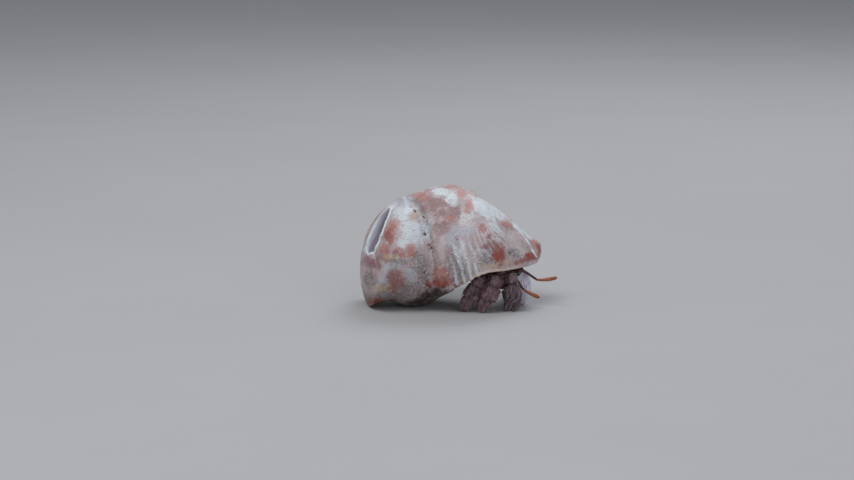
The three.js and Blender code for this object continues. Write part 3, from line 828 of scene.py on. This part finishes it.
crabSizes = {
    # share of the length, half width and half height
    "eyestalk": [(0, 0.3, 0.3), (0.15, 0.45, 0.48), (0.6, 0.38, 0.42), (1, 0.36, 0.4)],
    "eye": [(0, 0.25, 0.25), (0.25, 0.46, 0.48), (0.7, 0.44, 0.46), (1, 0.22, 0.24)],
    "antennule": [(0, 0.28, 0.28), (0.3, 0.29, 0.29), (0.65, 0.22, 0.22), (1, 0.22, 0.22)],
    "club": [(0, 0.2, 0.2), (0.3, 0.26, 0.26), (0.6, 0.33, 0.34), (0.86, 0.3, 0.31), (1, 0.2, 0.2)],
}
crabBody = {
    "thorax": {"path": [(4.7, -5.2, 5.7), (8.9, -4.9, 5.1)],
               "size": [(0, 1, 0.6), (0.15, 1.7, 1.0), (0.5, 2.0, 1.25), (0.85, 1.5, 1.0), (1, 0.9, 0.6)]},
    "carapace_shield": {"path": [(4.4, -4.9, 8.3), (6.8, -4.6, 7.45), (9.1, -4.5, 6.05)],
                        "size": [(0, 1.4, 0.7), (0.1, 2.0, 1.1), (0.4, 2.3, 1.35), (0.75, 2.0, 1.2),
                                 (0.93, 1.4, 0.85), (1, 0.9, 0.5)]},
    "eyestalk_left": {"path": [(9.2, -4.0, 6.3), (10.6, -3.7, 6.45)], "size": crabSizes["eyestalk"]},
    "eyestalk_right": {"path": [(9.2, -5.0, 6.3), (10.4, -5.2, 6.45)], "size": crabSizes["eyestalk"]},
    "eye_left": {"path": [(10.5, -3.72, 6.44), (11.35, -3.54, 6.53)], "size": crabSizes["eye"]},
    "eye_right": {"path": [(10.3, -5.18, 6.44), (11.12, -5.32, 6.54)], "size": crabSizes["eye"]},
    "antennule_left": {"path": [(9.7, -4.2, 6.4), (11.6, -3.6, 6.65), (14.05, -3.1, 5.05)],
                       "size": crabSizes["antennule"]},
    "antennule_left_flagellum": {"path": [(14.15, -3.1, 4.95), (15.6, -3.1, 4.95), (17.75, -3.2, 5.35)],
                                 "size": crabSizes["club"]},
    "antennule_right": {"path": [(9.3, -5.1, 6.3), (10.4, -5.3, 5.5), (11.6, -5.3, 3.75)],
                        "size": crabSizes["antennule"]},
    "antennule_right_flagellum": {"path": [(11.7, -5.3, 3.6), (12.8, -5.2, 2.95), (14.6, -5.0, 2.1)],
                                  "size": crabSizes["club"]},
    "antenna_left": segment((9.0, -3.3, 6.0), (10.3, -2.4, 6.5), 0.5, 0.5),
    "antenna_left_flagellum": {"path": [(10.4, -2.3, 6.5), (11.2, 0.4, 5.8), (10.0, 2.6, 4.7),
                                        (8.0, 4.4, 4.1), (5.2, 5.8, 3.7)],
                               "size": [(0, 0.3, 0.3), (0.3, 0.27, 0.27), (0.55, 0.24, 0.24),
                                        (1, 0.12, 0.12)]},
    "antenna_right": segment((8.9, -5.9, 6.2), (8.6, -7.0, 6.4), 0.5, 0.5),
    "antenna_right_flagellum": {"path": [(8.5, -7.1, 6.3), (7.2, -7.6, 6.3), (4.8, -8.0, 5.9),
                                         (2.4, -7.7, 5.0)],
                                "size": [(0, 0.3, 0.3), (0.3, 0.27, 0.27), (0.65, 0.24, 0.24),
                                         (1, 0.12, 0.12)]},
    "maxilliped_left": segment((9.2, -4.3, 5.0), (10.4, -4.1, 3.6), 0.6, 0.5, (0, 1, 0)),
    "maxilliped_right": segment((8.9, -5.1, 4.9), (9.7, -5.2, 3.6), 0.55, 0.5, (0, 1, 0)),
    "leg_fourth_left": segment((4.6, -3.6, 6.3), (3.5, -2.9, 7.4), 0.55, 0.55),
    "leg_fourth_right": segment((4.3, -6.6, 6.6), (3.4, -7.7, 7.4), 0.55, 0.55),
    "leg_fifth_left": segment((3.7, -4.3, 7.2), (2.8, -3.8, 8.8), 0.42, 0.42),
    "leg_fifth_right": segment((3.6, -6.2, 7.2), (2.9, -7.2, 8.6), 0.42, 0.42),
}
crabClaws = {
    "cheliped_left_merus": segment((9.0, -3.5, 4.9), (10.6, -1.5, 5.3), 1.3, 1.4),
    "cheliped_left_carpus": segment((10.4, -1.5, 4.9), (10.8, -1.3, 6.5), 1.4, 1.25, (0, 1, 0)),
    "cheliped_left_palm": {
        "path": [(11.4, -0.9, 6.3), (11.6, -0.8, 4.6), (11.7, -0.3, 2.6), (11.6, 0.0, underFloor)],
        "size": [(0, 0.7, 0.7), (0.1, 1.3, 1.1), (0.35, 2.1, 1.5), (0.6, 2.0, 1.4), (0.68, 1.1, 1.1),
                 (0.85, 0.8, 0.75), (1, 0.35, 0.35)], "up": (1, 0, 0)},
    "cheliped_left_finger": clawTip((11.7, -1.75, 3.1), (11.7, -1.7, 1.5), (11.6, -0.85, underFloor),
                                    0.75, 0.8, (1, 0, 0)),
    "cheliped_right_merus": segment((8.5, -5.9, 4.9), (9.4, -6.2, 6.3), 0.8, 0.9, (0, 1, 0)),
    "cheliped_right_carpus": segment((9.6, -6.4, 6.9), (9.65, -6.8, 4.9), 0.95, 1.1, (0, 1, 0)),
    "cheliped_right_palm": {
        "path": [(9.65, -6.8, 5.0), (9.6, -6.9, 3.2), (8.8, -6.8, 1.4), (8.5, -6.7, underFloor)],
        "size": [(0, 0.75, 0.7), (0.1, 1.15, 0.95), (0.35, 1.85, 1.2), (0.55, 1.4, 1.0), (0.68, 0.7, 0.7),
                 (1, 0.32, 0.32)], "up": (0, 1, 0)},
    "cheliped_right_finger": clawTip((10.65, -6.9, 2.5), (10.4, -6.9, 1.2), (9.6, -6.7, underFloor),
                                     0.7, 0.65, (0, 1, 0)),
}
walkingLegs = {
    # hip, knee, wrist, ankle and foot
    "second_right": {"at": [(6.6, -6.4, 5.2), (6.7, -7.6, 6.3), (6.3, -8.3, 4.6), (5.1, -8.5, 2.3),
                            (4.1, -8.1, underFloor)], "thick": 1.1, "broad": 1.5},
    "third_right": {"at": [(4.7, -6.4, 5.2), (4.5, -7.3, 6.1), (3.4, -7.6, 4.5), (2.1, -7.6, 2.4),
                           (0.9, -7.2, underFloor)], "thick": 1.1, "broad": 1.5},
    "second_left": {"at": [(7.6, -3.2, 4.4), (8.8, 0.2, 4.3), (9.4, 2.4, 4.0), (9.6, 4.4, 2.0),
                           (9.4, 5.6, underFloor)], "thick": 1.1, "broad": 1.15},
    "third_left": {"at": [(5.8, -3.3, 4.0), (5.5, -0.2, 3.4), (5.1, 2.2, 3.2), (4.6, 4.4, 2.3),
                          (4.0, 6.0, underFloor)], "thick": 1.05, "broad": 1.25},
}
tucked = 0.3  # how far each part of a leg starts inside the one before it


def legParts():
    parts = {}
    for leg, facts in walkingLegs.items():
        hip, knee, wrist, ankle, foot = (np.array(p, float) for p in facts["at"])
        bend = (ankle + foot) / 2 + (0, 0, 0.35)
        wide, high = facts["thick"], facts["thick"] * facts["broad"]
        ends = ((knee, wrist), (wrist, ankle), (ankle, foot))
        inKnee, inWrist, inAnkle = (a - tucked * unit(b - a) for a, b in ends)
        parts[f"leg_{leg}_merus"] = segment(hip, knee, 0.95 * wide, high)
        parts[f"leg_{leg}_carpus"] = segment(inKnee, wrist, 0.9 * wide, 0.95 * high)
        parts[f"leg_{leg}_propodus"] = segment(inWrist, ankle, 0.85 * wide, 0.95 * high)
        parts[f"leg_{leg}_dactyl"] = clawTip(inAnkle, bend, foot, 0.55 * wide, 0.68 * high)
    return parts


limbFacts = {
    # how much each kind of piece stands out: grains, their size, ridges along it, hairs
    "cheliped": {"grain": 0.07, "every": 0.42, "ridges": 0.02, "hairs": 110},
    "leg": {"grain": 0.035, "every": 0.3, "ridges": 0.05, "hairs": 170},
    "thorax": {"grain": 0.02, "every": 0.4, "ridges": 0, "hairs": 40},
    "carapace": {"grain": 0.03, "every": 0.35, "ridges": 0, "hairs": 60},
    "eyestalk": {"grain": 0.01, "every": 0.3, "ridges": 0, "hairs": 0},
    "eye": {"grain": 0, "every": 1, "ridges": 0, "hairs": 0},
    "antennule": {"grain": 0.01, "every": 0.3, "ridges": 0, "hairs": 8},
    "antenna": {"grain": 0.01, "every": 0.3, "ridges": 0, "hairs": 6},
    "maxilliped": {"grain": 0.02, "every": 0.3, "ridges": 0.02, "hairs": 60},
}
feelerRings = {"antenna_left_flagellum": 26, "antenna_right_flagellum": 22,
               "antennule_left_flagellum": 16, "antennule_right_flagellum": 13}
skins = []  # points, normals, place round and along, and number of hairs of every hairy piece


def limbPiece(name, form, material, slot):  # one piece in the place of the node of its name
    facts = limbFacts[name.split("_")[0]]
    thin = "flagellum" in name or name.startswith(("antenn", "eye"))
    points, faces, around, down = sweep(**form, sides=24 if thin else 44, square=2 if thin else 2.35,
                                        rings=90 if name in feelerRings else 44)
    piece = outward(meshObject("crab_" + name, points, faces))
    normals = normalsOf(piece)
    height = np.zeros(len(points))
    if facts["grain"]:
        bead = 1 - ease(grains(points, facts["every"], 7), 0.1, 0.42)
        height += facts["grain"] * bead
        setMask(piece, "bead", bead)
    if facts["ridges"]:  # seven of them, a little wavy
        height += facts["ridges"] * np.cos(2 * math.pi * (7 * around + 0.4 * cloud(points, 1.2, 4)))
    if name in feelerRings:
        height += 0.02 * np.cos(2 * math.pi * feelerRings[name] * down)
    height *= ease(points[:, 2], 0.02, 0.35)
    points = points + normals * height[:, None]
    points[:, 2] = np.maximum(points[:, 2], 0)
    setPoints(piece, points * mm)
    setMask(piece, "ringX", np.cos(2 * math.pi * around))
    setMask(piece, "ringY", np.sin(2 * math.pi * around))
    setMask(piece, "down", down)
    if facts["hairs"]:
        skins.append((points, normals, around, down, facts["hairs"]))
    finishPiece(piece, material, slot, name)


chitinTints = {
    "leg": {"base": "694a4e", "dark": "3a2428", "pale": "94777d", "tip": "9a8482", "bead": "806469",
            "root": "5a3f41"},
    "claw": {"base": "e0d8e8", "dark": "b0a1b8", "pale": "f3f0f7", "tip": "5d4653", "bead": "f5f2f8",
             "root": "b6a6ba"},
    # the right claw: the claw's colours darkened into painted shade, as it stands in shadow
    "clawRightPaintedShade": {"base": "5f474b", "dark": "38262a", "pale": "8a757d", "tip": "33232a", "bead": "77606a",
                  "root": "4a3439"},
    "carapace": {"base": "6f4c50", "dark": "3f2529", "pale": "9d7c7c", "tip": "a98a84", "bead": "b08c88",
                 "root": "5c3f42"},
    "feeler": {"base": "4f231d", "dark": "321612", "pale": "6b3f32", "tip": "6a3529", "bead": "6b3f32",
               "root": "3d1d19"},
    "club": {"base": "a65636", "dark": "83412c", "pale": "b56f3b", "tip": "a5563a", "bead": "b56f3b",
             "root": "94493f"},
    "eyestalk": {"base": "8a5c4c", "dark": "4b2b24", "pale": "b48a76", "tip": "8a5c4c", "bead": "b48a76",
                 "root": "6d473b"},
}


def chitinFinish(kind):  # streaks run along the piece, grains stand on it
    f = Finish("chitin" + kind.capitalize())
    tint = {name: colour(text) for name, text in chitinTints[kind].items()}
    down, bead = f.mask("down"), f.mask("bead")
    across = f.node("ShaderNodeCombineXYZ", {}, {0: f.mask("ringX"), 1: f.mask("ringY"), 2: down * 0.35})
    streaks = f.node("ShaderNodeTexNoise", {}, {"Vector": across, "Scale": 7.5, "Detail": 3.0}, "Fac")
    mottle = f.noise(0.7, 4)
    broad = f.noise(1.8, 2)
    base = f.blend(broad.between(0.4, 0.62), tint["base"], tint["dark"])
    base = f.blend(mottle.between(0.5, 0.7) * 0.5, base, tint["dark"])
    base = f.blend(streaks.between(0.49, 0.6) * 0.85, base, tint["pale"])
    base = f.blend(bead.between(0.35, 0.9) * 0.6, base, tint["bead"])
    base = f.blend(down.between(0.3, 0.0) * 0.6, base, tint["root"])
    base = f.blend(down.between(0.88, 0.99) * 0.7, base, tint["tip"])
    bumpy = f.bump(mottle * 0.5 + f.noise(0.16, 2) * 0.5, 0.05, 0.6)
    return f.surface({"Base Color": base, "Roughness": 0.34 + 0.25 * mottle, "Normal": bumpy})


def eyeFinish():
    f = Finish("wetEye")
    base = f.blend(f.noise(0.25, 2).between(0.45, 0.65), colour("0b0807"), colour("241512"))
    return f.surface({"Base Color": base, "Roughness": 0.08, "Coat Weight": 0.6, "Coat Roughness": 0.03})


def softFinish(name, fair, dark, pale):
    f = Finish(name)
    wrinkle = f.noise(0.5, 4, 0.6)
    base = f.blend(f.noise(1.5, 2).between(0.4, 0.62), colour(fair), colour(dark))
    base = f.blend(wrinkle.between(0.5, 0.7) * 0.5, base, colour(pale))
    return f.surface({"Base Color": base, "Roughness": 0.42 + 0.1 * wrinkle,
                      "Normal": f.bump(wrinkle, 0.08, 0.8), "Subsurface Weight": 0.1,
                      "Subsurface Radius": (0.0008, 0.0004, 0.0003)})


print("crab: claws, legs and feelers")
finishes = {kind: chitinFinish(kind) for kind in chitinTints}
soft = softFinish("softSkin", "a06a5c", "6f4340", "c99a84")
jointSoft = softFinish("jointSkin", "5f3e44", "3b242b", "8d6a6a")
wet = eyeFinish()
bodyKinds = {"thorax": "carapace", "carapace": "carapace", "leg": "leg", "maxilliped": "leg",
             "eyestalk": "eyestalk", "antennule": "feeler", "antenna": "feeler"}
for name, form in crabClaws.items():
    # the right claw takes the darker tints, which are painted shade
    limbPiece(name, form, finishes["clawRightPaintedShade" if "right" in name else "claw"], "claw")
for name, form in legParts().items():
    limbPiece(name, form, finishes["leg"], "leg")
for name, form in crabBody.items():
    first = name.split("_")[0]
    if first == "eye":
        limbPiece(name, form, wet, "eye")
    elif name.startswith("antennule") and name.endswith("flagellum"):
        limbPiece(name, form, finishes["club"], "feeler_club")
    else:
        limbPiece(name, form, finishes[bodyKinds[first]], bodyKinds[first])


abdomenShape = {
    # from and to which turn of the shell, and pairs of share of the length and radius
    "skinTurns": (-0.05, -0.6), "tailTurns": (-0.608, -0.67), "folds": 11, "foldHigh": 0.09,
    "skin": [(0, 1.5), (0.12, 2.2), (0.3, 2.5), (0.5, 2.3), (0.75, 1.9), (0.92, 1.5), (1, 1.1)],
    "tail": [(0, 0.9), (0.33, 1.3), (0.66, 1.2), (1, 0.6)], "lobes": 5, "lobeHigh": 0.08,
}


def inTube(turns, radii, count):  # a limb that follows the middle of the shell's hollow
    path = tubeMiddle(np.linspace(*abdomenShape[turns], count)) - middle
    return {"path": path, "size": [(t, r, r) for t, r in abdomenShape[radii]], "up": (1, 0, 0.2)}


def abdomenPiece():  # one soft skin with folds
    points, faces, _, down = sweep(**inTube("skinTurns", "skin", 14), sides=56, rings=120, square=2)
    piece = outward(meshObject("crab_abdomen_skin", points, faces))
    folds = np.cos(2 * math.pi * (abdomenShape["folds"] * down + 0.3 * cloud(points, 1.5, 8)))
    height = abdomenShape["foldHigh"] * folds + 0.12 * (layered(points, 0.8, 12) - 0.5)
    setPoints(piece, (points + normalsOf(piece) * height[:, None]) * mm)
    finishPiece(piece, soft, "abdomen", "abdomen_front", "abdomen_middle", "abdomen_rear")


def tailPiece():
    points, faces, around, _ = sweep(**inTube("tailTurns", "tail", 4), sides=40, rings=30, square=2.6)
    piece = outward(meshObject("crab_tail_fan", points, faces))
    height = abdomenShape["lobeHigh"] * np.cos(2 * math.pi * abdomenShape["lobes"] * around)
    setPoints(piece, (points + normalsOf(piece) * height[:, None]) * mm)
    finishPiece(piece, soft, "abdomen", "tail_fan")


abdomenPiece()
tailPiece()


legJointShares = (0.75, 0.72, 0.66, 0.5)  # hip, knee, wrist and ankle, as shares of the leg's thickness
jointBalls = {
    # centre and radius of the skin in each other joint
    "cheliped_left": [((9.0, -3.5, 4.9), 0.9), ((10.4, -1.5, 5.1), 0.95), ((11.1, -1.1, 6.3), 0.8),
                      ((11.65, -1.6, 3.1), 0.5)],
    "cheliped_right": [((8.5, -5.9, 4.9), 0.6), ((9.5, -6.3, 6.6), 0.6), ((9.65, -6.8, 4.95), 0.7),
                       ((10.5, -6.9, 2.6), 0.4)],
    "antennules": [((14.1, -3.1, 5.0), 0.23), ((11.65, -5.3, 3.68), 0.23)],
}


def jointSkins():  # soft skin that closes each joint
    groups = {}
    for leg, facts in walkingLegs.items():
        radii = [share * facts["thick"] for share in legJointShares]
        groups["leg_" + leg] = list(zip(facts["at"], radii))
    for name, balls in (groups | jointBalls).items():
        points, faces = [], []
        for centre, radius in balls:
            part = ball(np.array(centre) + middle, radius, 14, 20)
            base = len(points)
            points += pointsOf(part).tolist()
            faces += [tuple(v + base for v in poly.vertices) for poly in part.data.polygons]
            bpy.data.objects.remove(part)
        piece = outward(meshObject(name + "_joint_skin", np.array(points), faces))
        setPoints(piece, np.maximum(pointsOf(piece), (-99, -99, 0)) * mm)
        finishPiece(piece, jointSoft, "abdomen")


jointSkins()


# each bristle is a thin three-sided cone with its own small patch of the map
bristles = {"length": (0.12, 0.42), "thick": 0.03, "lean": 1.1, "patch": 0.003, "seed": 12}


def oneBristle(random, root, out, axis):  # two rings of three points and the tip
    way = unit(out + bristles["lean"] * axis * random.uniform(0.5, 1.3) + random.normal(0, 0.18, 3))
    long = random.uniform(*bristles["length"])
    side = unit(np.cross(way, out + (0.01, 0.02, 0)))
    other = np.cross(way, side)
    thick = bristles["thick"] * random.uniform(0.7, 1.2)
    points = []
    for level, (reach, width) in enumerate(((-0.05, 1), (0.55 * long, 0.6))):
        centre = root + way * reach + out * 0.06 * long * level
        for a in np.arange(3) * 2 * math.pi / 3:
            points.append(centre + thick * width * (side * math.cos(a) + other * math.sin(a)))
    return points + [root + way * long + out * 0.06 * long * 2]


def bristleCoat():
    random = np.random.default_rng(bristles["seed"])
    points, faces, patches = [], [], []
    grid = math.ceil(math.sqrt(len(skins)))
    for index, (skin, normals, around, down, count) in enumerate(skins):
        corner = np.array([index % grid, index // grid]) / grid
        axis = unit(skin[-1] - skin[-2])
        for i in random.integers(0, len(skin) - 2, count):
            if not 0.08 < down[i] < 0.96 or skin[i][2] < 0.4:  # none by the joints and the floor
                continue
            base = len(points)
            points += oneBristle(random, skin[i], normals[i], axis)
            for k in range(3):
                a, b = base + k, base + (k + 1) % 3
                faces += [(a, b, b + 3, a + 3), (a + 3, b + 3, base + 6)]
            faces.append((base + 2, base + 1, base))
            at = corner + np.array([0.04 + 0.9 * around[i], 0.04 + 0.9 * down[i]]) / grid
            patches += [at] * 7
    coat = meshObject("crab_bristles", np.maximum(points, (-99, -99, 0)) * mm, faces)
    layer = coat.data.uv_layers.new(name="OFBake")
    offsets = np.array([(0, 0), (1, 0), (0, 1), (0.2, 0.2), (0.8, 0.2), (0.2, 0.8), (0.5, 0.5)])
    corners = np.empty(len(coat.data.loops), dtype=np.int32)
    coat.data.loops.foreach_get("vertex_index", corners)
    spread = np.array(patches)[corners] + bristles["patch"] * offsets[corners % len(offsets)]
    layer.data.foreach_set("uv", np.ascontiguousarray(spread, dtype=np.float32).ravel())
    return coat


def bristleFinish():
    f = Finish("bristle")
    base = f.blend(f.noise(0.6, 2).between(0.4, 0.6), colour("8a6a62"), colour("c7aca2"))
    return f.surface({"Base Color": base, "Roughness": 0.5})


print("crab: bristles")
finishPiece(bristleCoat(), bristleFinish(), "leg")


# each light has its place, size, power and tint, in metres and watts
studioLights = {
    "key": ((-0.16, -0.2, 0.42), 0.22, 0.92, "f8faff"),
    "fill": ((0.25, -0.42, 0.22), 0.4, 0.48, "eaf1ff"),
    "back": ((0.12, 0.3, 0.4), 0.25, 0.8, "f4f8ff"),
}
studioRoom = {"floorHalf": 3, "air": (0.86, 0.92, 1, 1), "airStrength": 0.36, "aim": (-0.003, 0, 0.01)}


def studio():
    half = studioRoom["floorHalf"]
    corners = [(-half, -half, 0), (half, -half, 0), (half, half, 0), (-half, half, 0)]
    floor = meshObject("floor", corners, [(0, 1, 2, 3)], smooth=False)
    f = Finish("paleFloor")
    shade = f.blend(f.noise(60, 3), colour("b3b1b0"), colour("bab8b6"))
    floor.data.materials.append(f.surface({"Base Color": shade, "Roughness": 0.85}))
    for name, (place, size, power, tint) in studioLights.items():
        lamp = bpy.data.lights.new(name, "AREA")
        lamp.size = size
        lamp.energy = power
        lamp.color = colour(tint)[:3]
        holder = bpy.data.objects.new(name, lamp)
        holder.location = place
        aim = Vector(studioRoom["aim"]) - Vector(place)
        holder.rotation_euler = aim.to_track_quat("-Z", "Y").to_euler()
        bpy.context.scene.collection.objects.link(holder)
    world = bpy.data.worlds.new("studio")
    world.use_nodes = True
    background = world.node_tree.nodes["Background"]
    background.inputs["Color"].default_value = studioRoom["air"]
    background.inputs["Strength"].default_value = studioRoom["airStrength"]
    bpy.context.scene.world = world


def camera():
    view = bpy.data.cameras.new("camera")
    view.lens = frontView["lens"]
    view.sensor_width = frontView["sensor"]
    view.clip_start = 0.01
    holder = bpy.data.objects.new("camera", view)
    holder.location = viewFrame()[0] * mm
    holder.rotation_euler = (math.radians(90 - frontView["tilt"]), 0, 0)
    bpy.context.scene.collection.objects.link(holder)
    bpy.context.scene.camera = holder


studio()
camera()
bpy.context.scene.view_settings.view_transform = "Standard"
print("floor, light and camera")
